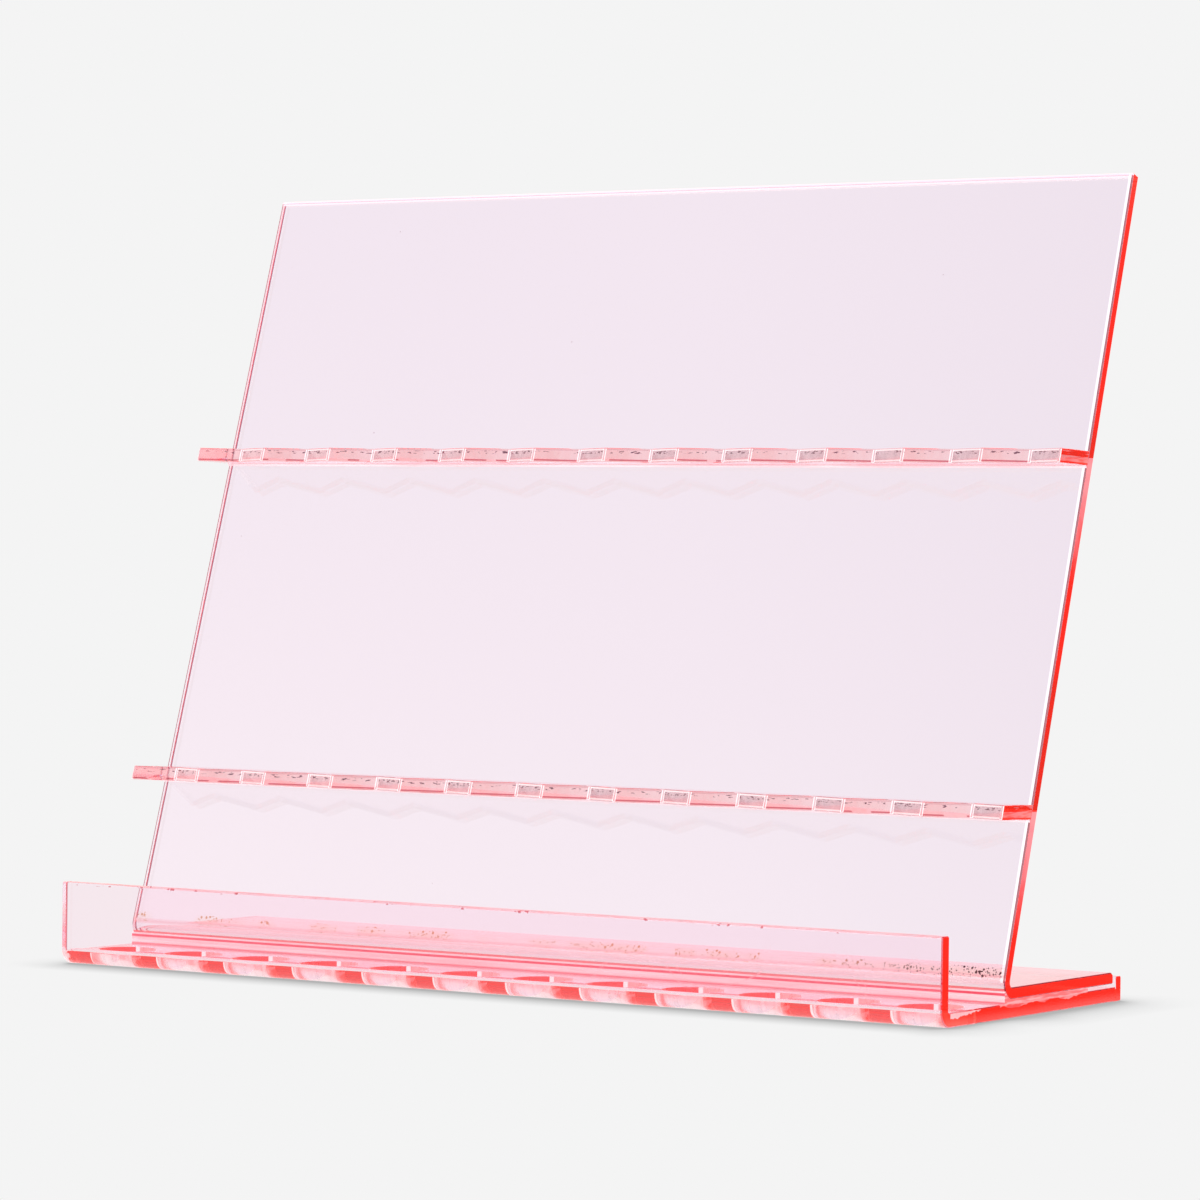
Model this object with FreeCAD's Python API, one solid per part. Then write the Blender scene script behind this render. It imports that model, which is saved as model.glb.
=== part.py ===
import FreeCAD, Part
import math
import os

from FreeCAD import Vector

# Makeup brush stand in clear pink acrylic. A tray with a bent-up front lip and a row of holes carries
# a bent back panel that leans away, and two notched shelves are cemented across the panel's face.
# Millimetres. X runs along the lip, +Y from the lip to the rear, +Z up from the table.

# Whole stand
width = 240.0                 # every sheet is cut to this length
place_count = 12              # brush places: one hole and two notches each

# Tray
tray_sheet = 3.2              # thickness of the tray's sheet
tray_bend_radius = 0.6        # inside radius where the lip is bent up
lip_height = 19.6             # top of the lip above the table
plate_depth = 81.3            # front of the lip to the rear edge of the plate
hole_diameter = 14.0
hole_setback = 10.8           # inner face of the lip to the row of hole centres

# Rear stop, a strip cemented to the plate's rear edge
stop_sheet = 2.5
stop_height = 5.6

# Back panel with its foot
panel_sheet = 2.6
panel_bend_radius = 1.2       # inside radius between foot and panel
panel_lean = 17.5             # degrees from upright
panel_length = 192.4          # along the front face, from the bend's sharp corner to the top
trough_width = 23.6           # inner face of the lip to the bend's sharp corner
foot_clearance = 1.4          # end of the foot to the rear stop
foot_end_radius = 1.1         # rounded upper corner at the end of the foot

# Bonding layer between the foot and the plate
bond_thickness = 0.85
bond_depth = 39.3             # front face to rear end
bond_setback = 1.5            # bend's sharp corner to the layer's front face

# Shelves
shelf_sheet = 3.3
shelf_depth = 13.5            # panel to the tips
notch_depth = 5.0             # tips to the valleys
shelf_tilt = 1.8              # degrees that the tips stand above the root
upper_shelf_height = 124.1    # top of the root above the table
lower_shelf_height = 46.1
tip_radius = 0.45             # soft corner of each tip and valley
cement_bead = 0.6             # leg of the cement bead under each root

# Polished edges
edge_round = 0.4              # long edges of every sheet
end_arris = 0.25              # edges of the cut ends

# Derived places
place_pitch = width / place_count
plate_top = tray_sheet
foot_bottom = plate_top + bond_thickness
bend_corner_y = tray_sheet + trough_width
lean = math.radians(panel_lean)
tilt = math.radians(shelf_tilt)
up_panel = Vector(0, math.sin(lean), math.cos(lean))
through_panel = Vector(0, math.cos(lean), -math.sin(lean))
out_of_panel = Vector(0, -math.cos(tilt), math.sin(tilt))
bend_corner = Vector(0, bend_corner_y, foot_bottom)
panel_top = bend_corner + up_panel * panel_length
overall_depth = max((panel_top + through_panel * panel_sheet).y, plate_depth + stop_sheet)


def on_panel(height):
    """Point on the panel's front face at a height above the table, in the middle plane."""
    return bend_corner + up_panel * ((height - foot_bottom) / up_panel.z)


def rounded_wire(corners):
    """Closed wire through (point, radius) corners, with a tangent arc at each radius above 0."""
    arcs = []
    for i, (corner, radius) in enumerate(corners):
        before = (corners[i - 1][0] - corner).normalize()
        after = (corners[(i + 1) % len(corners)][0] - corner).normalize()
        if radius == 0:
            arcs.append((corner, None, corner))
            continue
        half = before.getAngle(after) / 2
        reach = radius / math.tan(half)
        bisector = (before + after).normalize()
        middle = corner + bisector * (radius / math.sin(half) - radius)
        arcs.append((corner + before * reach, middle, corner + after * reach))
    edges = []
    for i, (start, middle, end) in enumerate(arcs):
        if middle is not None:
            edges.append(Part.Arc(start, middle, end).toShape())
        edges.append(Part.LineSegment(end, arcs[(i + 1) % len(arcs)][0]).toShape())
    return Part.Wire(edges)


def strip(corners):
    """Solid of full width with the section given by (y, z, radius) corners."""
    left = -width / 2
    wire = rounded_wire([(Vector(left, y, z), radius) for y, z, radius in corners])
    return Part.Face(wire).extrude(Vector(width, 0, 0))


def soften_ends(solid):
    """Break the edges round the two cut ends with a narrow flat."""
    ends = [face for face in solid.Faces if abs(abs(face.CenterOfMass.x) - width / 2) < 1e-6]
    return solid.makeChamfer(end_arris, [edge for face in ends for edge in face.Edges])


def tray():
    """Bottom plate with the front lip bent up from it, and a row of holes."""
    outer = tray_bend_radius + tray_sheet
    body = soften_ends(strip([
        (0, 0, outer),
        (plate_depth, 0, 0),
        (plate_depth, plate_top, 0),
        (tray_sheet, plate_top, tray_bend_radius),
        (tray_sheet, lip_height, edge_round),
        (0, lip_height, edge_round),
    ]))
    for place in range(place_count):
        x = (place + 0.5) * place_pitch - width / 2
        foot = Vector(x, tray_sheet + hole_setback, 0)
        body = body.cut(Part.makeCylinder(hole_diameter / 2, plate_top, foot))
    return body


def rear_stop():
    """Low strip against the plate's rear edge, which keeps the foot from sliding off."""
    rear = plate_depth + stop_sheet
    return soften_ends(strip([
        (plate_depth, 0, 0),
        (rear, 0, edge_round),
        (rear, stop_height, edge_round),
        (plate_depth, stop_height, edge_round),
    ]))


def back_panel():
    """Leaning panel and its foot, one sheet bent over an obtuse turn."""
    foot_top = foot_bottom + panel_sheet
    foot_end = plate_depth - foot_clearance
    rear_top = panel_top + through_panel * panel_sheet
    rear_face = bend_corner + through_panel * panel_sheet
    inner_y = rear_face.y + (foot_top - rear_face.z) * math.tan(lean)
    return soften_ends(strip([
        (bend_corner.y, bend_corner.z, panel_bend_radius + panel_sheet),
        (foot_end, foot_bottom, edge_round),
        (foot_end, foot_top, foot_end_radius),
        (inner_y, foot_top, panel_bend_radius),
        (rear_top.y, rear_top.z, edge_round),
        (panel_top.y, panel_top.z, edge_round),
    ]))


def foot_bond(panel):
    """Clear bonding layer under the foot, filling the wedge under the bend as far as its front face."""
    front = bend_corner_y + bond_setback
    rear = front + bond_depth
    bend_outer = panel_bend_radius + panel_sheet
    block = strip([
        (front, plate_top, 0),
        (rear, plate_top, 0),
        (rear, foot_bottom, 0),
        (bend_corner_y + bend_outer, foot_bottom + bend_outer / 2, 0),
        (front, foot_bottom + bend_outer / 2, 0),
    ])
    under = block.cut(panel)
    return max(under.Solids, key=lambda solid: -solid.CenterOfMass.z)


def shelf(height):
    """Notched shelf with a tip at both ends, its edges cut parallel to the leaning panel."""
    rise = shelf_sheet / math.cos(lean - tilt)
    root = on_panel(height) - up_panel * rise
    half = width / 2

    def at(x, reach):
        return root + Vector(x, 0, 0) + out_of_panel * reach

    corners = [(at(-half, 0), 0), (at(half, 0), 0)]
    for step in range(2 * place_count + 1):
        x = half - step * place_pitch / 2
        reach = shelf_depth if step % 2 == 0 else shelf_depth - notch_depth
        corners.append((at(x, reach), tip_radius))
    board = Part.Face(rounded_wire(corners)).extrude(up_panel * rise)
    broad = sorted(board.Faces, key=lambda face: face.Area)[-2:]
    free = [edge for face in broad for edge in face.Edges if edge.Length < half]
    return board.makeChamfer(end_arris, free)


def shelf_cement(height):
    """Bead of cement in the corner between a shelf's underside and the panel."""
    rise = shelf_sheet / math.cos(lean - tilt)
    corner = on_panel(height) - up_panel * rise
    outer = corner + out_of_panel * cement_bead
    lower = corner - up_panel * cement_bead
    return strip([(corner.y, corner.z, 0), (outer.y, outer.z, 0), (lower.y, lower.z, 0)])


def main():
    panel = back_panel()
    pieces = {
        "base_tray": tray(),
        "rear_stop": rear_stop(),
        "back_panel": panel,
        "foot_bond": foot_bond(panel),
        "upper_shelf": shelf(upper_shelf_height),
        "lower_shelf": shelf(lower_shelf_height),
        "upper_shelf_cement": shelf_cement(upper_shelf_height),
        "lower_shelf_cement": shelf_cement(lower_shelf_height),
    }
    os.makedirs("parts", exist_ok=True)
    for name, solid in pieces.items():
        solid.translate(Vector(0, -overall_depth / 2, 0))
        solid.exportStep("parts/" + name + ".step")
        box = solid.BoundBox
        print(name, solid.isValid(), len(solid.Solids), round(solid.Volume, 1),
              [round(v, 2) for v in (box.XMin, box.XMax, box.YMin, box.YMax, box.ZMin, box.ZMax)])


main()
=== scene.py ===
import math

import bmesh
import bpy
from mathutils import Matrix, Vector


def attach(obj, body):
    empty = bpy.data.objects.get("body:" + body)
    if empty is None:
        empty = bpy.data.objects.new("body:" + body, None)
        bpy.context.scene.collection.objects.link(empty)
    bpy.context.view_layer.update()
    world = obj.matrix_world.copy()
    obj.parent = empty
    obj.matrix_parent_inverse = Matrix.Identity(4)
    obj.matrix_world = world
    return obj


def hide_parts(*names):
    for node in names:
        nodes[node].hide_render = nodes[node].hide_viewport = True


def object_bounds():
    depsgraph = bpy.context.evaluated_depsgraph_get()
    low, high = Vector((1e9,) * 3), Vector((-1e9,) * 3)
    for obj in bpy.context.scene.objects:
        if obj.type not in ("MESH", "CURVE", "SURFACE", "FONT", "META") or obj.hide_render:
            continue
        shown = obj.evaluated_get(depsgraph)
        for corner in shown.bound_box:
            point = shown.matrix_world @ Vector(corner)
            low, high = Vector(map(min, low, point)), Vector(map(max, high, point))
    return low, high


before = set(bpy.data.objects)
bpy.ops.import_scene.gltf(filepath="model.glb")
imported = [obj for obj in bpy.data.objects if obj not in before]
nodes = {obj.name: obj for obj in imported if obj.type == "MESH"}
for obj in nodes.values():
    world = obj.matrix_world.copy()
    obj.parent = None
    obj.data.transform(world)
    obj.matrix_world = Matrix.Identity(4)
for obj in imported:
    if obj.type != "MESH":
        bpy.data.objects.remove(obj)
cad_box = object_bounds()
scene = bpy.context.scene

# ---------------------------------------------------------------- sizes
# Metres, as in the CAD source. Y0 is the lip's front in the row frame.
WIDTH, PLACES = 0.240, 12
HALF, PITCH = WIDTH / 2, WIDTH / PLACES
Y0 = cad_box[0].y
SHEET, LIP, PLATE = 0.0032, 0.0196, 0.0813
STOP, STOP_HIGH, STOP_ROUND = 0.0025, 0.0056, 0.0004
FOOT_Z, BEND_R, PANEL_LENGTH = 0.00405, 0.0038, 0.1924
LEAN, TILT = math.radians(17.5), math.radians(1.8)
UP = Vector((0, math.sin(LEAN), math.cos(LEAN)))            # along the panel
THROUGH = Vector((0, math.cos(LEAN), -math.sin(LEAN)))      # from the panel's face to its back
OUT = Vector((0, -math.cos(TILT), math.sin(TILT)))          # along a shelf, away from the panel
OVER = Vector((0, math.sin(TILT), math.cos(TILT)))          # square to a shelf's faces
CORNER = Vector((0, Y0 + 0.0268, FOOT_Z))                   # where panel face and foot underside would meet
BEND_Y = CORNER.y + BEND_R / math.tan((math.pi / 2 - LEAN) / 2)
BOND_FRONT, BOND_REAR, BOND_TOP = Y0 + 0.0283, Y0 + 0.0676, 0.00595
SHELVES = {"upper_shelf": 0.1241, "lower_shelf": 0.0461}    # heights of the shelves' top edges on the panel
RISE = 0.0033 / math.cos(LEAN - TILT)
DEPTH, NOTCH, TIP_R, BEAD = 0.0135, 0.0050, 0.00045, 0.0006
BREAK = 0.00025     # broken edges
SINK = 0.00005      # how far a cemented face reaches into its neighbour, so that light crosses the joint
CLOSE = 0.0001      # a point this close to a face lies on it
END_RIM, STOP_RIM = 0.00026, 0.00002                        # no joint this close to a cut end, or to the plate's top
GROOVE, GROOVE_END = 0.0004, 0.0003                         # the broken edges between plate and stop
HOLES, END_BAND = (Y0 + 0.0065, Y0 + 0.0215), 0.001         # y range of the tray's holes, and x left to its ends

# ---------------------------------------------------------------- looks
# Colours are linear. Two colours in a row are the ends of a mix, by noise or by place. Noise scales are per metre.
WHITE = (1, 1, 1)
MOST, MIDDLE = (0.3, 0.7), (0.35, 0.65)     # the part of a noise's range that a ramp spreads out
ACRYLIC_ABSORB, CEMENT_ABSORB = (0.2, 25.5, 26.5), (0.2, 6.0, 5.0)      # per metre
ACRYLIC_BEND, CEMENT_BEND = 0.49, 0.45                                  # index of refraction over that of air
FACE_TINT = {"tray": (1.0, 0.955, 1.0), "panel": (0.985, 0.94, 1.0)}
FACE_NOISE, FACE_SPREAD = 9.0, 0.99
# on the panel, a cut end seen from inside the sheet is painted darker, as painted shade
END_TINT, INNER_END_SHADE = (0.66, 0.006, 0.003), (0.30, 0.08, 0.13)
EMBER, GLEAM = (1, 0.03, 0.0), (1, 0.97, 0.97)                          # glow of cut ends, and of other bright parts
# broken edges painted darker, as painted shade; the shelves' are left white
ARRIS_SHADE = {"tray": (0.60, 0.10, 0.13), "stop": (0.60, 0.10, 0.13), "panel": (0.22, 0.03, 0.06),
              "shelf": WHITE}
MARKS, MARKED, HAZE, HAZE_ROUGH = 14.0, 0.56, (0.55, 0.75), 0.03
HAIRS, HAIR_TURNS, HAIR_WIDTH, HAIR_ROUGH = 11.0, 9.0, 0.006, 0.12
SPECKS, SPECK_SIZE, SPECK_LEAST, SPECK_TINT, SPECK_ROUGH = 90.0, 0.018, 0.6, (0.55, 0.42, 0.45), 0.3
GRAIN, SAWN, SAWN_ROUGH = 2500.0, 500.0, (0.03, 0.11)
WAVES, WAVE_SHARE, ACRYLIC_BUMP, CEMENT_BUMP = 30.0, 0.3, 0.00002, 0.00006
END_GLOW, ARRIS_GLOW, TIP_GLOW, FACET_GLOW, LINE_GLOW = 0.42, 0.12, 0.70, 0.05, 0.25
CEMENT_GLOW, CEMENT_END_GLOW, CEMENT_TOP_GLOW = 0.30, 0.8, 0.6
WALL_GLOW, RED_WALL_GLOW, GLINT_GLOW, SMEAR_GLOW, CORNER_GLOW = 0.32, 0.40, 0.8, 0.85, 0.9
TOP_GLOW, VERGE_GLOW = 0.42, 0.28
CUT, SLOPE = 0.9, 0.5       # sideways share of the normal on a cut end, and on its broken edges
FACET = 0.42                # the same on the shelves' long facets, which tips and valleys stay under

# shelves: heights over the underside
LOW_LINE, HIGH_LINE = (0.00025, 0.00062), (0.00278, 0.0032)
CHIP_BAND, PALE_BODY = (0.0020, 0.0027), (0.0005, 0.0018)
UNEVEN, FACET_ROUGH, LOW_BREAKS, LOW_LEAST = 700.0, (0.10, 0.2), 120.0, 0.42
CHIPS, STREAKS, STREAK_BODY, STREAK_PALE, STREAK_FINE = 1300.0, 2000.0, (0.36, 0.56), (0.30, 1.0), (0.56, 0.64)
# tips: painted grey under a painted highlight glow
TIP_WIDTH, TIP_TINT = 0.00042, (0.45, 0.40, 0.42)
# painted light and shade on the long facets: those that look right are painted lit, those that look left painted in
# shade
LIT_FACET = (1.0, 0.82, 0.84), (1.0, 0.92, 0.94)
SHADED_FACET = (0.56, 0.46, 0.54), (0.70, 0.60, 0.68)
ROSY_FACET = (0.86, 0.62, 0.70), (1.0, 0.78, 0.84)          # painted shade of the shaded facets, lighter and rosier at the left end
ROSY_FROM, ROSY_TO = 0.03, -0.12
# painted shade lines along the lit facets' lower and upper broken edges
LOW_EDGE_SHADE, HIGH_EDGE_SHADE = (0.45, 0.05, 0.07), (0.75, 0.48, 0.52)
# painted highlight line along the shaded facets' edges, and the chips' own colour
HIGHLIGHT_LINE, CHIP_TINT = (1, 0.95, 0.97), (0.06, 0.01, 0.02)
CHIPS_LIT, CHIPS_SHADED = 0.61, 0.575                      # noise level above which a chip shows
# paler streaks in the painted glow of the shelves' cut ends
SHELF_END_PALE = (1, 0.52, 0.54)

# panel: heights along the face, from the corner, unless they are z
FACE_CLOSE = 0.0002
# painted shade: a pink line where the panel's face turns into the bend
BEND_START_Z, BEND_START_FADE, BEND_START_REACH, BEND_START_SHADE = 0.00865, (0.0001, 0.0006), 0.006, (0.97, 0.60, 0.66)
RESIDUE_UP, RESIDUE_FADE, RESIDUE_TINT, RESIDUE_SHARE = 0.0061, (0.0003, 0.0016), (0.93, 0.64, 0.42), 0.45
RESIDUE_NOISE, CROWDED, LATE = 75.0, (0.42, 0.60), (0.06, HALF - 0.012)     # more of it in places, and at the right
LINE_LEAST, CROWD_LEAST = 0.25, 0.3
RESIDUE_GRAINS = ((1100.0, 0.84), (2100.0, 0.72))           # grains a metre, and the share left out
GRAIN_SIZE, GRAIN_CROWD = 0.36, 0.13
GRAIN_BROWN, GRAIN_BLACK = (0.55, 0.14, 0.03), (0.01, 0.0, 0.0)
# beside the cut ends: a painted shade line at both, and inward of it a painted highlight at the right
SHADE_VERGE, HIGHLIGHT_VERGE, VERGE_UP = HALF - 0.00042, HALF - 0.0011, 0.004
VERGE_SHADE, VERGE_LIGHT = (0.20, 0.015, 0.02), (0.9, 1, 1)
# painted highlight along the panel's top edge
TOP_BAND, TOP_HIGHLIGHT, TOP_LIGHT = 0.0006, (0.9, 0.7, 0.76), (1, 0.72, 0.80)
# the cut ends' painted glow, paler just under each shelf
PANEL_END_PALE, END_PALE_TOP, END_PALE_LENGTHS = (1, 0.66, 0.74), 0.0016, (0.004, 0.030)
END_PALE_NOISE, END_PALE_WAVE = 300.0, 0.004
FOOT_END, FOOT_TOP, FOOT_END_TINT = 0.006, 0.002, (0.96, 0.80, 0.86)

# tray
DRILLED, DRILLED_ROUGH, DRILLED_TINT = 900.0, (0.25, 0.45), ((0.55, 0.50, 0.52), (0.80, 0.74, 0.76))
RIM_BAND, NICKS, NICK_LEAST, NICK_TINT = 0.0006, 900.0, 0.66, (0.55, 0.08, 0.10)
# cement smeared on the plate's end under the bond, shown by a painted glow in streaked red
SMEAR_NOISE, SMEAR_STREAKS, SMEAR_PALE = 160.0, 700.0, (0.45, 0.62)
SMEAR_DEEP, SMEAR_FADE, SMEAR_AHEAD = (0.0003, 0.0010), (0.001, -0.006), 0.002
# before the bond, a streak of paler painted glow on the plate's cut end
STREAK_FRONT, STREAK_REAR, STREAK_TAPER_END = Y0 + 0.0040, Y0 + 0.0175, Y0 + 0.019
STREAK_DEEP, STREAK_TOP, STREAK_WAVE = (0.0015, 0.0004), 0.0002, 0.0002
VIEWED = (0.838, 0.545, 0)                                  # across the holes, the camera's sideways direction; the hole walls' painted red band, glints and glow follow how a wall turns from it
# painted light on the hole walls: a red band, glints, and a glow on the rest
RED_WALL, RED_WALL_TINT, RED_WALL_LIGHT = (-0.18, -0.14), (0.8, 0.05, 0.06), (1, 0.05, 0.06)
GAP_WALL, GLINT_WALL, GLINT_LIGHT = (-0.30, -0.17), 0.97, (1, 0.95, 0.97)
WALL_LIGHT, SMEAR_LIGHT = (1, 0.74, 0.79), ((1, 0.10, 0.10), (1, 0.33, 0.34))
CORNER_LIGHT, SMEAR_TINT = (1, 0.5, 0.53), (0.8, 0.05, 0.05)

# cement
CEMENT_STREAKS, CEMENT_TINT, CEMENT_END_TINT = 350.0, ((1.0, 0.70, 0.74), (1.0, 0.90, 0.93)), (0.5, 0.1, 0.1)
BUBBLES, BUBBLE_SIZE, BUBBLE_TINT = 1100.0, 0.16, (1.0, 0.97, 0.98)
CEMENT_GLOW_RANGE, CEMENT_END_RANGE = (0.3, 0.6), (0.45, 0.62)
LEDGE_LINE_FADE, LEDGE_FOOT, LEDGE_FOOT_SHARE, TOP_CLOSE = (0.0002, 0.00036), (0.0006, 0.0002), 0.8, 0.0002
CEMENT_CLEAR, CEMENT_ROUGH = 0.35, (0.12, 0.32)
# the cement's front face: a painted shade line in glowing dark red, and a painted band at its foot
LEDGE_REACH, LEDGE_LINE_Z, LEDGE_SHADE, LEDGE_LIGHT = 0.001, 0.00530, (0.8, 0.08, 0.14), (1.0, 0.08, 0.14)
# painted highlight on the cement's top face
CEMENT_TOP_HIGHLIGHT, CEMENT_TOP_LIGHT = (1.0, 0.8, 0.84), (1.0, 0.6, 0.66)
CEMENT_LIGHT, CEMENT_END_LIGHT = ((1.0, 0.55, 0.6), (1.0, 0.8, 0.85)), ((1.0, 0.15, 0.16), (1.0, 0.42, 0.44))

# Floor and studio. Only the floor's shadow and the backdrop are seen directly, the rest is mirrored in the acrylic.
BACKDROP = 0.905            # renders as sRGB 244
SHADOW_REACH, SHADOW_POWER, DARKEST = (0.0150, 0.0195), (0.8, 1.6), 0.50    # at the left and past the right end
REACH_CHANGE, POWER_CHANGE, SHADOW_SAMPLES = (HALF - 0.004, HALF + 0.006), (HALF - 0.006, HALF + 0.004), 16
FLOOR_HALF, FLOOR_Z = 30, -0.00005
MIRRORED_FLOOR, FLAG_FLOOR = (Y0 - 0.012, Y0 - 0.004), (HALF + 0.002, HALF + 0.012)
HORIZON_TOP, LEFT_EDGE, BEHIND_EDGE = (0.33, 0.53), (-0.42, -0.54), (-0.2, 0.3)     # z, x and y of the way out
HORIZON, ABOVE, BEHIND = (1.25, 1.25, 1.4), (0.5, 0.5, 1.0), (1.03, 0.80, 0.80)
FROM_LEFT = (0.5, 0.5, 0.45)
FLAG, FLAG_WAY, FLAG_ANGLES = (0.42, 0.19, 0.20), (0.342, 0.94, 0.0), (22, 48)
SOFTBOXES = (((-0.45, -0.85, 0.26), (6, 9), 5.0), ((0.80, -0.44, 0.39), (12, 20), 3.0))

BOUNCES, CLEAR_BOUNCES = 128, 32

# The camera, as solved from the photo
AZIMUTH, DOWN, ROLL = math.radians(33.017), math.radians(0.705), math.radians(0.709)
TARGET, AWAY = Vector((0.01356, -0.014598, 0.08916)), 1.1042
FOCAL, PHOTO_WIDTH, SENSOR = 4824.2, 1200, 36       # pixels, pixels, millimetres


def on_panel(height):
    """The point of the panel's face at a height."""
    return CORNER + UP * ((height - FOOT_Z) / UP.z)


def root(height):
    """The lower corner of a shelf on the panel's face."""
    return on_panel(height) - UP * RISE


# ---------------------------------------------------------------- materials
class Nodes:
    """Short names for the maths nodes of one node tree. Masks are 0 or 1, or between them where they fade."""

    def __init__(self, tree):
        self.tree = tree

    def new(self, kind, **props):
        node = self.tree.nodes.new(kind)
        for key, value in props.items():
            setattr(node, key, value)
        return node

    def put(self, socket, value):
        if isinstance(value, bpy.types.NodeSocket):
            self.tree.links.new(value, socket)
        else:
            socket.default_value = value

    def math(self, op, *args):
        node = self.new("ShaderNodeMath", operation=op)
        for socket, value in zip(node.inputs, args):
            self.put(socket, value)
        return node.outputs[0]

    def vector(self, op, *args):
        node = self.new("ShaderNodeVectorMath", operation=op)
        for socket, value in zip(node.inputs, args):
            self.put(socket, value)
        return node.outputs["Value" if op == "DOT_PRODUCT" else "Vector"]

    def dot(self, vector, axis, start=None):
        if start is not None:
            vector = self.vector("SUBTRACT", vector, start)
        return self.vector("DOT_PRODUCT", vector, axis)

    def add(self, first, second):
        return self.math("ADD", first, second)

    def less(self, first, second):
        return self.math("SUBTRACT", first, second)

    def times(self, first, second):
        return self.math("MULTIPLY", first, second)

    def size(self, value):
        return self.math("ABSOLUTE", value)

    def near(self, value, middle, reach):
        return self.math("COMPARE", value, middle, reach)

    def between(self, value, low, high):
        return self.near(value, (low + high) / 2, (high - low) / 2)

    def above(self, value, least):
        return self.math("GREATER_THAN", value, least)

    def invert(self, mask):
        return self.less(1.0, mask)

    def every(self, *masks):
        total = masks[0]
        for mask in masks[1:]:
            total = self.times(total, mask)
        return total

    def some(self, *masks):
        total = masks[0]
        for mask in masks[1:]:
            total = self.math("MAXIMUM", total, mask)
        return total

    def ramp(self, value, low, high, start=0.0, end=1.0):
        node = self.new("ShaderNodeMapRange", interpolation_type="SMOOTHSTEP")
        for key, v in (("Value", value), ("From Min", low), ("From Max", high), ("To Min", start), ("To Max", end)):
            self.put(node.inputs[key], v)
        return node.outputs["Result"]

    def mix(self, share, first, second):
        node = self.new("ShaderNodeMix", data_type="RGBA")
        self.put(node.inputs["Factor"], share)
        for key, value in (("A", first), ("B", second)):
            if not isinstance(value, bpy.types.NodeSocket):
                value = (*value, 1)
            self.put(node.inputs[key], value)
        return node.outputs["Result"]


class Surface(Nodes):
    """A material with its place in the row frame and its true normal at hand."""

    def __init__(self, name):
        self.material = bpy.data.materials.new(name)
        self.material.use_nodes = True
        super().__init__(self.material.node_tree)
        self.shader = self.tree.nodes["Principled BSDF"]
        self.output = self.tree.nodes["Material Output"]
        self.place = self.new("ShaderNodeTexCoord").outputs["Object"]
        self.geometry = self.new("ShaderNodeNewGeometry").outputs
        self.normal = self.geometry["True Normal"]
        self.x, self.y, self.z = (self.dot(self.place, axis) for axis in ((1, 0, 0), (0, 1, 0), (0, 0, 1)))
        self.side = self.dot(self.normal, (1, 0, 0))
        self.across = self.size(self.side)
        self.glows = []

    def facing(self, axis, least=0.95):
        return self.above(self.size(self.dot(self.normal, axis)), least)

    def noise(self, scale, detail=2.0, stretch=None):
        """Noise in 0 to 1 with features of about 1 / scale metres."""
        where = self.vector("MULTIPLY", self.place, stretch) if stretch else self.place
        node = self.new("ShaderNodeTexNoise")
        for key, value in (("Vector", where), ("Scale", scale), ("Detail", detail)):
            self.put(node.inputs[key], value)
        return node.outputs["Fac"]

    def cells(self, scale):
        node = self.new("ShaderNodeTexVoronoi")
        self.put(node.inputs["Vector"], self.place)
        self.put(node.inputs["Scale"], scale)
        return node.outputs

    def paint(self, mask, colour):
        self.colour = self.mix(mask, self.colour, colour)

    def shine(self, *masks):
        self.glows.append(self.every(*masks))

    def absorb(self, amounts):
        most = max(amounts)
        node = self.new("ShaderNodeVolumeAbsorption")
        node.inputs["Color"].default_value = (*[1 - a / most for a in amounts], 1)
        node.inputs["Density"].default_value = most
        self.put(self.output.inputs["Volume"], node.outputs[0])

    def bump(self, height, distance):
        node = self.new("ShaderNodeBump")
        node.inputs["Distance"].default_value = distance
        self.put(node.inputs["Height"], height)
        self.put(self.shader.inputs["Normal"], node.outputs["Normal"])

    def finish(self, joint, bend, rough, light):
        """Links the shader. A cemented face gets the index of air and no tint of its own."""
        for key, value in (("Base Color", self.mix(joint, self.colour, WHITE)), ("Roughness", rough),
                           ("IOR", self.add(1.0, self.times(bend, self.invert(joint)))),
                           ("Emission Color", light), ("Emission Strength", self.some(*self.glows))):
            self.put(self.shader.inputs[key], value)
        return self.material


def joint_mask(n):
    """1 on the faces that are cemented to a neighbour, where light passes straight on."""
    up, deep = n.dot(n.place, UP, CORNER), n.dot(n.place, THROUGH, CORNER)
    on_face = n.every(n.near(deep, SINK / 2, CLOSE), n.facing(THROUGH))
    roots, under = [], []
    for height in SHELVES.values():
        top = (height - FOOT_Z) / UP.z
        roots.append(n.between(up, top - RISE - BEAD, top))
        low = root(height)
        under.append(n.every(n.near(n.dot(n.place, OVER, low), 0, CLOSE),
                             n.between(n.dot(n.place, OUT, low), -BEAD, BEAD), n.facing(OVER)))
    flat = n.facing((0, 0, 1))
    plate_face = n.every(n.near(n.z, SHEET - SINK / 2, CLOSE), n.between(n.y, BOND_FRONT, BOND_REAR), flat)
    foot_face = n.every(n.near(n.z, FOOT_Z + SINK / 2, CLOSE), n.between(n.y, BEND_Y, BOND_REAR), flat)
    away = n.math("SQRT", n.add(n.math("POWER", n.less(n.y, BEND_Y), 2.0),
                                n.math("POWER", n.less(n.z, FOOT_Z + BEND_R), 2.0)))
    wedge = n.every(n.near(away, BEND_R - SINK / 2, CLOSE * 1.5), n.between(n.z, FOOT_Z - CLOSE, BOND_TOP),
                    n.between(n.y, BOND_FRONT, BEND_Y))
    stop_face = n.every(n.near(n.y, Y0 + PLATE - SINK / 2, CLOSE), n.between(n.z, -0.001, SHEET - STOP_RIM),
                        n.facing((0, 1, 0)))
    within = n.above(HALF - END_RIM, n.size(n.x))
    return n.every(n.some(n.every(on_face, n.some(*roots)), *under, plate_face, foot_face, wedge, stop_face), within)


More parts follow.
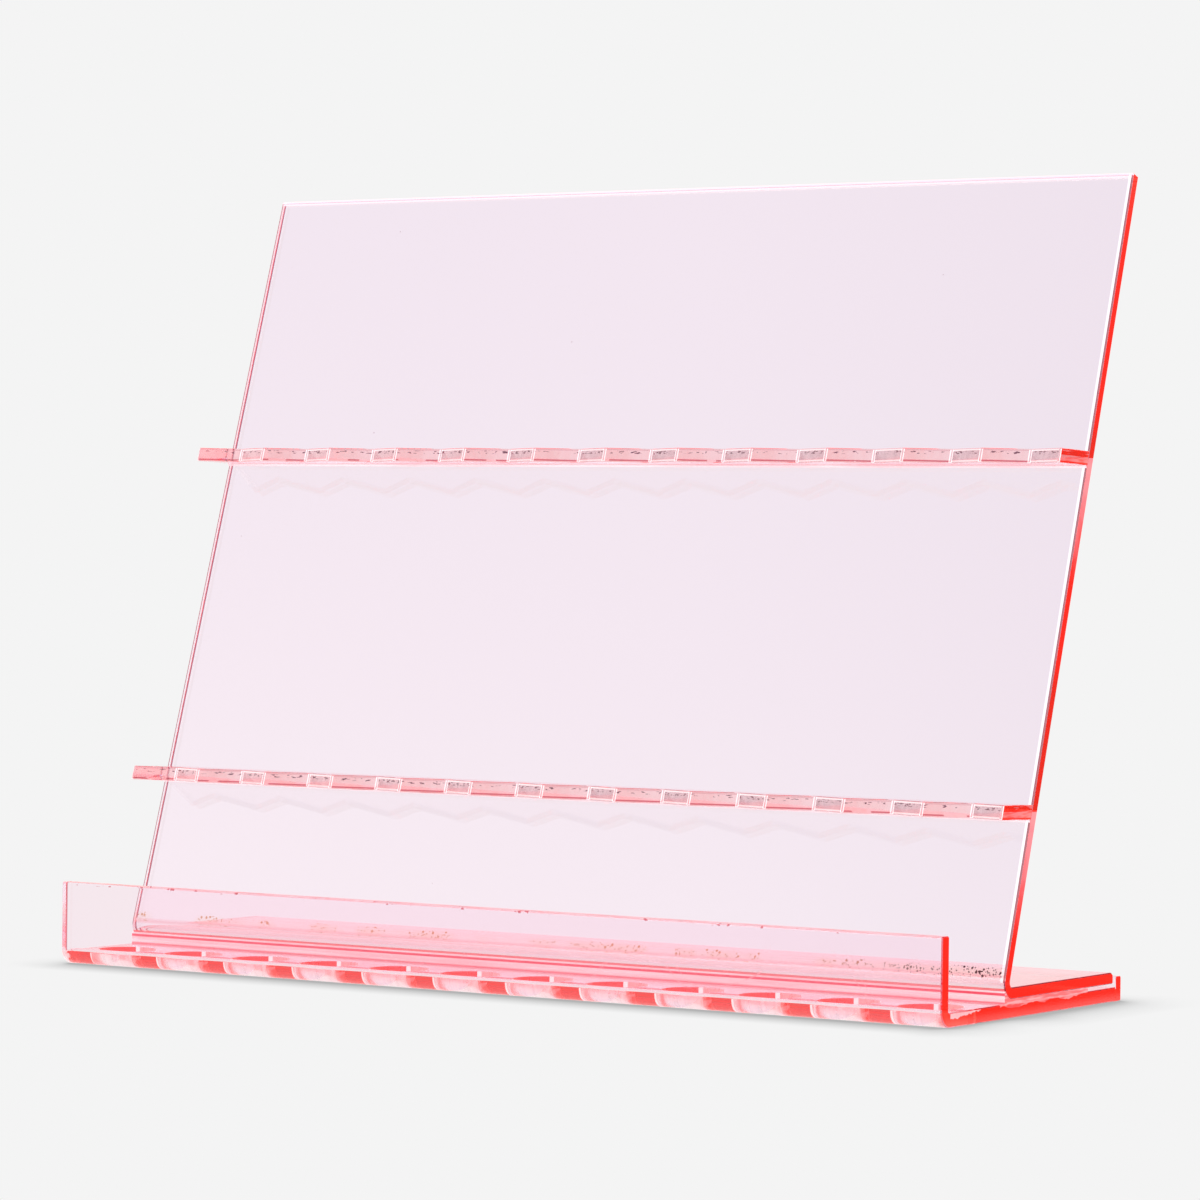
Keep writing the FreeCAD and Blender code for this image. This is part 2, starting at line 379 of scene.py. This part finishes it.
def dress_shelf(n):
    """Zigzag edge: facets that look right painted lit and ones that look left painted in shade, tips and broken edges
    with painted highlights, chips, painted shade lines along the lit facets' edges, painted highlight lines along the
    shaded ones' edges, and paler streaks in the cut ends' painted glow.
    """
    # painted highlight on the broken edges
    n.shine(n.edge, ARRIS_GLOW)
    level = n.invert(n.facing((0, -OVER.y, OVER.z), 0.3))
    facet = n.every(n.above(n.dot(n.normal, OUT), 0.3), level, n.invert(n.cut))
    corner = n.above(TIP_WIDTH, n.math("PINGPONG", n.add(n.x, HALF), PITCH / 4))
    tip = n.every(facet, n.some(n.above(FACET, n.across), corner))
    # painted light and shade: facets that look right are painted lit, those that look left in shade
    lit_facet = n.every(facet, n.above(n.side, FACET))
    shaded_facet = n.every(facet, n.above(-FACET, n.side))
    uneven = n.ramp(n.noise(UNEVEN, 2.0, (1, 1, 0.5)), *MIDDLE)
    n.paint(lit_facet, n.mix(uneven, *LIT_FACET))
    rosy = n.ramp(n.x, ROSY_FROM, ROSY_TO)
    n.paint(shaded_facet, n.mix(rosy, n.mix(uneven, *SHADED_FACET), n.mix(uneven, *ROSY_FACET)))
    n.matt = n.some(n.matt, n.every(n.some(lit_facet, shaded_facet), n.ramp(n.grain, *MOST, *FACET_ROUGH)))
    # painted highlights: a glow on the tips and on the lit facets, the tips painted grey under it
    n.shine(tip, TIP_GLOW)
    n.shine(lit_facet, FACET_GLOW)
    n.paint(tip, TIP_TINT)
    lift = [n.dot(n.place, OVER, root(h)) for h in SHELVES.values()]
    low, high, band, body = (n.some(*[n.between(v, *reach) for v in lift])
                             for reach in (LOW_LINE, HIGH_LINE, CHIP_BAND, PALE_BODY))
    # painted shade lines along the lit facets' lower and upper broken edges
    n.paint(n.every(lit_facet, low, n.above(n.noise(LOW_BREAKS), LOW_LEAST)), LOW_EDGE_SHADE)
    n.paint(n.every(lit_facet, high), HIGH_EDGE_SHADE)
    # painted highlight lines along the shaded facets' lower and upper edges
    rims = n.every(shaded_facet, n.some(low, high))
    n.paint(rims, HIGHLIGHT_LINE)
    n.shine(rims, LINE_GLOW)
    many = n.ramp(shaded_facet, 0.0, 1.0, CHIPS_LIT, CHIPS_SHADED)
    n.paint(n.every(facet, band, n.above(n.noise(CHIPS, 2.0, (0.6, 0.6, 2.0)), many)), CHIP_TINT)
    # paler streaks in the painted glow of the cut ends
    streak = n.noise(STREAKS, 2.0, (1, 0.08, 1))
    pale = n.some(n.every(body, n.ramp(streak, *STREAK_BODY, *STREAK_PALE)), n.ramp(streak, *STREAK_FINE, 0.0, 0.7))
    n.ember = n.mix(pale, n.ember, SHELF_END_PALE)


def dress_panel(n):
    """Residue of cement along the bend, a painted shade line where the face turns into the bend, a painted shade line
    and a painted highlight beside the cut ends, a painted highlight along the top edge, and the cut ends' painted glow
    paler under the shelves.
    """
    up = n.dot(n.place, UP, CORNER)
    front = n.near(n.dot(n.place, THROUGH, CORNER), 0.0, FACE_CLOSE)
    # painted shade: a pink line where the face turns into the bend
    n.paint(n.every(n.ramp(n.size(n.less(n.z, BEND_START_Z)), *BEND_START_FADE, 1.0, 0.0),
                    n.above(CORNER.y + BEND_START_REACH, n.y)), BEND_START_SHADE)
    line = n.ramp(n.size(n.less(up, RESIDUE_UP)), *RESIDUE_FADE, 1.0, 0.0)
    crowd = n.ramp(n.noise(RESIDUE_NOISE, 1.0, (1, 0.1, 0.1)), *CROWDED)
    late = n.ramp(n.x, *LATE)
    grains = []
    for scale, share in RESIDUE_GRAINS:
        cell = n.cells(scale)
        pick = n.dot(cell["Color"], (0.5, 0.5, 0))
        most = n.less(share, n.times(n.add(crowd, late), GRAIN_CROWD))
        grains.append(n.every(n.above(GRAIN_SIZE, cell["Distance"]), n.above(pick, most)))
    residue = n.every(front, n.some(*grains), n.above(line, LINE_LEAST),
                      n.above(n.some(crowd, late), CROWD_LEAST))
    n.paint(n.every(front, line, n.some(crowd, late), RESIDUE_SHARE), RESIDUE_TINT)
    n.paint(residue, n.mix(late, GRAIN_BROWN, GRAIN_BLACK))
    # beside the cut ends: a painted shade line at both, and inward of it a painted highlight at the right
    verge = n.every(front, n.above(up, VERGE_UP), n.invert(n.cut))
    verge_highlight = n.every(verge, n.between(n.x, HIGHLIGHT_VERGE, SHADE_VERGE))
    n.paint(n.every(verge, n.above(n.size(n.x), SHADE_VERGE)), VERGE_SHADE)
    # the cut ends' painted glow, paler just under each shelf
    rise = n.add(n.z, n.ramp(n.noise(END_PALE_NOISE, 2.0, (1, 0.5, 0.5)), *MOST, -END_PALE_WAVE, END_PALE_WAVE))
    whole, none = END_PALE_LENGTHS
    pale = n.some(*[n.every(n.above(h - END_PALE_TOP, n.z), n.ramp(rise, h - whole, h - none, 1.0, 0.0))
                    for h in SHELVES.values()])
    n.ember = n.mix(pale, n.ember, PANEL_END_PALE)
    # painted highlight along the top edge
    rim = n.every(n.above(up, PANEL_LENGTH - TOP_BAND), n.invert(n.cut))
    n.shine(rim, TOP_GLOW)
    n.shine(verge_highlight, VERGE_GLOW)
    n.lit = n.mix(verge_highlight, TOP_LIGHT, VERGE_LIGHT)
    n.paint(rim, TOP_HIGHLIGHT)
    n.paint(n.every(n.above(n.x, HALF - FOOT_END), n.facing((0, 0, 1)), n.above(n.z, FOOT_Z + FOOT_TOP)),
            FOOT_END_TINT)


def dress_tray(n):
    """Drilled hole walls with a painted glow, a painted red band and painted glints, nicks in the lip, cement smeared
    on the end under the bond and shown by a painted glow, and a streak of paler painted glow before it.
    """
    wall = n.every(n.invert(n.facing((0, 0, 1), 0.3)), n.between(n.y, *HOLES), n.above(HALF - END_BAND, n.size(n.x)))
    drilled = n.noise(DRILLED, 2.0, (1, 1, 0.4))
    n.matt = n.some(n.matt, n.every(wall, n.ramp(drilled, *MOST, *DRILLED_ROUGH)))
    n.paint(wall, n.mix(n.ramp(drilled, *MIDDLE), *DRILLED_TINT))
    rim = n.every(n.above(n.z, LIP - RIM_BAND), n.free)
    n.paint(n.every(rim, n.above(n.noise(NICKS, 2.0, (0.7, 1, 1)), NICK_LEAST)), NICK_TINT)
    # cement smeared on the end under the bond; its look is a painted glow in streaked red
    deep = n.ramp(n.noise(SMEAR_NOISE, 3.0, (1, 1, 0.2)), *MIDDLE, *SMEAR_DEEP)
    fade = n.ramp(n.y, *(BOND_REAR + reach for reach in SMEAR_FADE))
    glowing_smear = n.every(n.some(n.cut, n.edge), n.above(n.z, n.less(SHEET, n.every(deep, fade))),
                    n.between(n.y, BOND_FRONT - SMEAR_AHEAD, BOND_REAR + SMEAR_FADE[0]), n.above(n.across, SLOPE))
    n.cut = n.every(n.cut, n.invert(glowing_smear))
    pale = n.ramp(n.noise(SMEAR_STREAKS, 2.0, (0.1, 0.25, 2.0)), *SMEAR_PALE)
    # a streak of paler painted glow on the cut end before the bond
    taper = n.ramp(n.y, STREAK_FRONT, STREAK_TAPER_END, *(SHEET - d for d in STREAK_DEEP))
    taper = n.add(taper, n.ramp(drilled, *MOST, -STREAK_WAVE, STREAK_WAVE))
    corner = n.every(n.cut, n.between(n.y, STREAK_FRONT, STREAK_REAR), n.above(n.z, taper),
                     n.above(SHEET - STREAK_TOP, n.z))
    n.cut = n.every(n.cut, n.invert(corner))
    # painted light on the hole walls by how they turn from the camera's side: a red band, glints, and a glow on the
    # rest
    turn = n.dot(n.normal, VIEWED)
    red = n.every(wall, n.outside, n.ramp(turn, *RED_WALL))
    gap = n.every(wall, n.outside, n.between(turn, *GAP_WALL))
    glint = n.some(gap, n.every(wall, n.above(n.size(turn), GLINT_WALL)))
    n.shine(glowing_smear, n.outside, SMEAR_GLOW)
    n.shine(corner, n.outside, CORNER_GLOW)
    n.shine(wall, n.invert(red), WALL_GLOW)
    n.shine(red, RED_WALL_GLOW)
    n.shine(glint, GLINT_GLOW)
    n.paint(red, RED_WALL_TINT)
    n.lit = n.mix(glowing_smear, WALL_LIGHT, n.mix(pale, *SMEAR_LIGHT))
    for mask, light in ((corner, CORNER_LIGHT), (red, RED_WALL_LIGHT), (glint, GLINT_LIGHT)):
        n.lit = n.mix(mask, n.lit, light)
    n.paint(n.some(glowing_smear, corner), SMEAR_TINT)


DRESS = {"shelf": dress_shelf, "panel": dress_panel, "tray": dress_tray}


def acrylic(name, kind):
    """Clear pink acrylic: glossy faces, red cut ends with a painted glow, broken edges painted darker as shade except
    on the shelves, fine marks of use.
    """
    n = Surface(name)
    joint = joint_mask(n)
    n.free, n.outside = n.invert(joint), n.invert(n.geometry["Backfacing"])
    slope = n.between(n.across, SLOPE, CUT)
    # the groove between plate and stop, which looks cut where it opens to the side
    seam = n.every(n.some(slope, n.facing((0, 1, 0))), n.near(n.y, Y0 + PLATE, GROOVE), n.above(SHEET - GROOVE, n.z),
                   n.above(n.size(n.x), HALF - GROOVE_END))
    n.cut = n.every(n.some(n.above(n.across, CUT), seam), n.free)
    n.edge = n.every(slope, n.invert(seam), n.free)

    face = FACE_TINT.get(kind, FACE_TINT["panel"])
    n.colour = n.mix(n.noise(FACE_NOISE), face, [c * FACE_SPREAD for c in face])
    # cut ends red; on the panel, seen from inside the sheet, painted darker as shade
    n.paint(n.cut, n.mix(n.outside, INNER_END_SHADE, END_TINT) if kind == "panel" else END_TINT)
    # broken edges painted darker as shade, on the shelves left white
    n.paint(n.edge, ARRIS_SHADE[kind])
    n.grain = n.noise(GRAIN, 1.0)
    n.matt = n.every(n.cut, n.ramp(n.noise(SAWN), *MOST, *SAWN_ROUGH))
    n.lit, n.ember = GLEAM, EMBER
    if kind in DRESS:
        DRESS[kind](n)
    n.shine(n.cut, n.outside, END_GLOW)

    # hairline scratches along a contour of slow noise, dust and faint haze
    marks = n.noise(MARKS, 3.0)
    contour = n.size(n.less(n.math("FRACT", n.times(n.noise(HAIRS, 2.0), HAIR_TURNS)), 0.5))
    hair = n.every(n.math("LESS_THAN", contour, HAIR_WIDTH), n.above(marks, MARKED), n.free)
    dust = n.cells(SPECKS)
    speck = n.every(n.above(SPECK_SIZE, dust["Distance"]), n.above(n.dot(dust["Color"], (1, 0, 0)), SPECK_LEAST),
                    n.free)
    n.paint(speck, SPECK_TINT)
    rough = n.some(n.matt, n.every(hair, HAIR_ROUGH), n.every(speck, SPECK_ROUGH),
                   n.every(n.ramp(marks, *HAZE), n.free, HAZE_ROUGH))
    n.shader.inputs["Transmission Weight"].default_value = 1
    n.bump(n.add(n.times(n.noise(WAVES), WAVE_SHARE), n.every(n.grain, n.some(n.cut, n.matt))), ACRYLIC_BUMP)
    n.absorb(ACRYLIC_ABSORB)
    return n.finish(joint, ACRYLIC_BEND, rough, n.mix(n.cut, n.lit, n.ember))


def adhesive(name):
    """Set cement: clear where it holds the sheets, hazy and streaked with a painted glow where it meets the air, a
    painted shade line on its front and a painted highlight on its top.
    """
    n = Surface(name)
    joint = joint_mask(n)
    free = n.invert(joint)
    streak = n.noise(CEMENT_STREAKS, 3.0, (0.12, 0.3, 3.0))
    n.colour = n.mix(n.ramp(streak, *MIDDLE), *CEMENT_TINT)
    n.paint(n.every(n.above(BUBBLE_SIZE, n.cells(BUBBLES)["Distance"]), free), BUBBLE_TINT)
    end = n.every(free, n.above(n.across, CUT))
    n.paint(end, CEMENT_END_TINT)
    # painted shade: a dark red line across the front face and a band at its foot, with a red glow
    ledge = n.every(n.facing((0, 1, 0)), n.above(BOND_FRONT + LEDGE_REACH, n.y), free)
    shade_lines = n.some(n.ramp(n.size(n.less(n.z, LEDGE_LINE_Z)), *LEDGE_LINE_FADE, 1.0, 0.0),
                  n.ramp(n.z, *(SHEET + d for d in LEDGE_FOOT), 0.0, LEDGE_FOOT_SHARE))
    line = n.every(ledge, shade_lines)
    n.paint(line, LEDGE_SHADE)
    # painted highlight on the top face
    top = n.every(free, n.facing((0, 0, 1)), n.above(n.z, BOND_TOP - TOP_CLOSE))
    n.paint(top, CEMENT_TOP_HIGHLIGHT)
    light = n.mix(n.ramp(streak, *CEMENT_GLOW_RANGE), *CEMENT_LIGHT)
    light = n.mix(line, light, LEDGE_LIGHT)
    light = n.mix(top, light, CEMENT_TOP_LIGHT)
    light = n.mix(end, light, n.mix(n.ramp(streak, *CEMENT_END_RANGE), *CEMENT_END_LIGHT))
    n.shine(free, CEMENT_GLOW)
    n.shine(end, CEMENT_END_GLOW)
    n.shine(top, CEMENT_TOP_GLOW)
    n.put(n.shader.inputs["Transmission Weight"], n.some(joint, CEMENT_CLEAR))
    n.bump(n.every(streak, free), CEMENT_BUMP)
    n.absorb(CEMENT_ABSORB)
    return n.finish(joint, CEMENT_BEND, n.every(free, n.ramp(streak, *MOST, *CEMENT_ROUGH)), light)


# ---------------------------------------------------------------- pieces
def rounded(corners, steps=6):
    """Points of a closed outline through (x, y, radius) corners."""
    points = []
    for i, (cx, cy, radius) in enumerate(corners):
        c = Vector((cx, cy))
        if not radius:
            points.append(c)
            continue
        a = (Vector(corners[i - 1][:2]) - c).normalized()
        b = (Vector(corners[(i + 1) % len(corners)][:2]) - c).normalized()
        half = a.angle(b) / 2
        middle = c + (a + b).normalized() * (radius / math.sin(half))
        start = c + a * (radius / math.tan(half)) - middle
        turn = math.pi - 2 * half
        side = 1 if start.x * (c - middle).y - start.y * (c - middle).x > 0 else -1
        for k in range(steps + 1):
            t = side * turn * k / steps
            points.append(middle + Vector((start.x * math.cos(t) - start.y * math.sin(t),
                                           start.x * math.sin(t) + start.y * math.cos(t))))
    return points


def linked(name, data):
    ob = bpy.data.objects.new(name, data)
    scene.collection.objects.link(ob)
    return ob


def prism(name, points, place, along, bevel=0, skip=lambda e: False):
    """Closed piece: the outline's points put in space by place(), pushed along a vector, its rims bevelled."""
    bm = bmesh.new()
    low = [bm.verts.new(place(p)) for p in points]
    high = [bm.verts.new(v.co + along) for v in low]
    bm.faces.new(low)
    bm.faces.new(list(reversed(high)))
    for i in range(len(low)):
        j = (i + 1) % len(low)
        bm.faces.new((low[j], low[i], high[i], high[j]))
    bmesh.ops.recalc_face_normals(bm, faces=bm.faces[:])
    rims = [e for f in bm.faces if len(f.verts) == len(points) for e in f.edges if not skip(e)]
    if bevel:
        bmesh.ops.bevel(bm, geom=rims, offset=bevel, segments=3, profile=0.5, affect="EDGES", clamp_overlap=True)
    mesh = bpy.data.meshes.new(name)
    bm.to_mesh(mesh)
    bm.free()
    return linked(name, mesh)


def strip(name, points, bevel=0, skip=lambda e: False):
    """Piece of the stand's full width, its outline given as (y, z) points."""
    return prism(name, points, lambda p: Vector((-HALF, p.x, p.y)), Vector((WIDTH, 0, 0)), bevel, skip)


def shelf(name, height):
    low = root(height)
    corners = [(-HALF, -SINK, 0), (HALF, -SINK, 0)]
    for step in range(2 * PLACES + 1):
        reach = DEPTH if step % 2 == 0 else DEPTH - NOTCH
        corners.append((HALF - step * PITCH / 2, reach, TIP_R))
    sunk = low + OUT * -SINK

    def skip(e):
        return all(abs((v.co - sunk).dot(THROUGH)) < 1e-6 for v in e.verts)

    return prism(name, rounded(corners, 4), lambda p: low + Vector((p.x, 0, 0)) + OUT * p.y, UP * RISE, BREAK, skip)


def cement(name, height):
    """Bead in the corner under a shelf, with a hollow face."""
    corner, steps, hollow = root(height), 5, 0.35
    outer, lower = corner + OUT * BEAD, corner - UP * BEAD
    points = [corner + THROUGH * SINK + UP * SINK, outer + UP * SINK]
    for k in range(steps + 1):
        p = outer.lerp(lower, k / steps)
        points.append(p + (corner - p) * (hollow * math.sin(math.pi * k / steps)))
    points.append(lower + THROUGH * SINK)
    return strip(name, [Vector((p.y, p.z)) for p in points])


def foot_bond():
    centre, radius, steps = Vector((BEND_Y, FOOT_Z + BEND_R)), BEND_R - SINK, 12
    last = math.asin((centre.y - BOND_TOP) / radius)
    points = [Vector((BOND_FRONT, SHEET - SINK)), Vector((BOND_REAR, SHEET - SINK)), Vector((BOND_REAR, FOOT_Z + SINK))]
    for k in range(steps + 1):
        a = math.pi / 2 + (last - math.pi / 2) * k / steps
        points.append(centre + Vector((-math.cos(a), -math.sin(a))) * radius)
    points.append(Vector((BOND_FRONT, BOND_TOP)))
    return strip("foot_bond_layer", points)


def rear_stop():
    front, rear = Y0 + PLATE, Y0 + PLATE + STOP
    points = rounded([(front - SINK, 0, 0), (rear, 0, STOP_ROUND), (rear, STOP_HIGH, STOP_ROUND),
                      (front - SINK, STOP_HIGH, STOP_ROUND)])
    return strip("rear_stop_strip", points, BREAK,
                 lambda e: all(v.co.y < front and v.co.z < STOP_HIGH - 0.0003 for v in e.verts))


# ---------------------------------------------------------------- stage
def camera():
    forward = Vector((-math.sin(AZIMUTH) * math.cos(DOWN), math.cos(AZIMUTH) * math.cos(DOWN), -math.sin(DOWN)))
    right = Vector((math.cos(AZIMUTH), math.sin(AZIMUTH), 0))
    up = right.cross(forward)
    side = right * math.cos(ROLL) + up * math.sin(ROLL)
    top = up * math.cos(ROLL) - right * math.sin(ROLL)
    data = bpy.data.cameras.new("camera")
    data.sensor_width = SENSOR
    data.lens = FOCAL / PHOTO_WIDTH * SENSOR
    data.clip_start, data.clip_end = 0.05, 50
    place = Matrix((side, top, -forward)).transposed().to_4x4()
    place.translation = TARGET - forward * AWAY
    scene.camera = linked("camera", data)
    scene.camera.matrix_world = place


def floor():
    """Evenly lit floor. Its shadow is the object's occlusion; in mirrors it is the lit room's horizon."""
    s, z = FLOOR_HALF, FLOOR_Z
    mesh = bpy.data.meshes.new("floor")
    mesh.from_pydata([(-s, -s, z), (s, -s, z), (s, s, z), (-s, s, z)], [], [(0, 1, 2, 3)])
    linked("floor", mesh)
    n = Surface("floor")
    n.tree.nodes.remove(n.shader)
    mesh.materials.append(n.material)
    ao = n.new("ShaderNodeAmbientOcclusion", samples=SHADOW_SAMPLES)
    n.put(ao.inputs["Distance"], n.ramp(n.x, *REACH_CHANGE, *SHADOW_REACH))
    path = n.new("ShaderNodeLightPath").outputs
    shade = n.math("POWER", ao.outputs["AO"], n.ramp(n.x, *POWER_CHANGE, *SHADOW_POWER))
    shade = n.some(shade, DARKEST, n.invert(path["Is Camera Ray"]))
    mirrored, direct = n.above(path["Glossy Depth"], 0.5), n.above(0.5, path["Transmission Depth"])
    colour = n.mix(n.every(mirrored, n.ramp(n.y, *MIRRORED_FLOOR, 1.0, 0.0)), WHITE, HORIZON)
    colour = n.mix(n.every(mirrored, direct, n.ramp(n.x, *FLAG_FLOOR)), colour, FLAG)
    glow = n.new("ShaderNodeEmission")
    n.put(glow.inputs["Color"], colour)
    n.put(glow.inputs["Strength"], n.every(BACKDROP, shade))
    n.put(n.output.inputs["Surface"], glow.outputs[0])


def studio():
    """Even backdrop, and in mirrors a soft room: bright horizon, darker top, warm back, a flag and two softboxes."""
    world = bpy.data.worlds.new("studio")
    world.use_nodes = True
    scene.world = world
    n = Nodes(world.node_tree)
    back = n.tree.nodes["Background"]
    way = n.new("ShaderNodeTexCoord").outputs["Generated"]
    path = n.new("ShaderNodeLightPath").outputs
    x, y, z = (n.dot(way, axis) for axis in ((1, 0, 0), (0, 1, 0), (0, 0, 1)))

    def lobe(direction, angles):
        full, none = (math.cos(math.radians(a)) for a in angles)
        return n.ramp(n.dot(way, Vector(direction).normalized()), none, full)

    front = n.mix(n.ramp(z, *HORIZON_TOP), HORIZON, ABOVE)
    front = n.mix(n.ramp(x, *LEFT_EDGE), front, n.vector("ADD", front, FROM_LEFT))
    room = n.mix(n.ramp(y, *BEHIND_EDGE), front, BEHIND)
    room = n.mix(n.every(lobe(FLAG_WAY, FLAG_ANGLES), n.above(0.5, path["Transmission Depth"])), room, FLAG)
    for direction, angles, level in SOFTBOXES:
        room = n.mix(lobe(direction, angles), room, (level, level, level))
    n.put(back.inputs["Color"], n.mix(n.above(path["Glossy Depth"], 0.5), (BACKDROP, BACKDROP, BACKDROP), room))
    back.inputs["Strength"].default_value = 1


camera()
floor()
studio()
for name, kind in (("base_tray", "tray"), ("back_panel", "panel")):
    for slot in nodes[name].material_slots:
        slot.material = acrylic("pink_acrylic_" + kind, kind)
shelf_pink, stop_pink = acrylic("pink_acrylic_shelf", "shelf"), acrylic("pink_acrylic_stop", "stop")
clear = adhesive("clear_adhesive")
made = []
for name, height in SHELVES.items():
    made.append((shelf(name + "_board", height), name, shelf_pink, "pink_acrylic"))
    made.append((cement(name + "_bead", height), name + "_cement", clear, "clear_adhesive"))
made.append((foot_bond(), "foot_bond", clear, "clear_adhesive"))
made.append((rear_stop(), "rear_stop", stop_pink, "pink_acrylic"))
for ob, node, material, slot in made:
    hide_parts(node)
    ob.data.materials.append(material)
    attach(ob, "root")

scene.view_settings.view_transform = "Standard"
# light that runs along a sheet turns back from its faces many times
for key in ("max_bounces", "glossy_bounces", "transmission_bounces"):
    setattr(scene.cycles, key, BOUNCES)
scene.cycles.transparent_max_bounces = CLEAR_BOUNCES
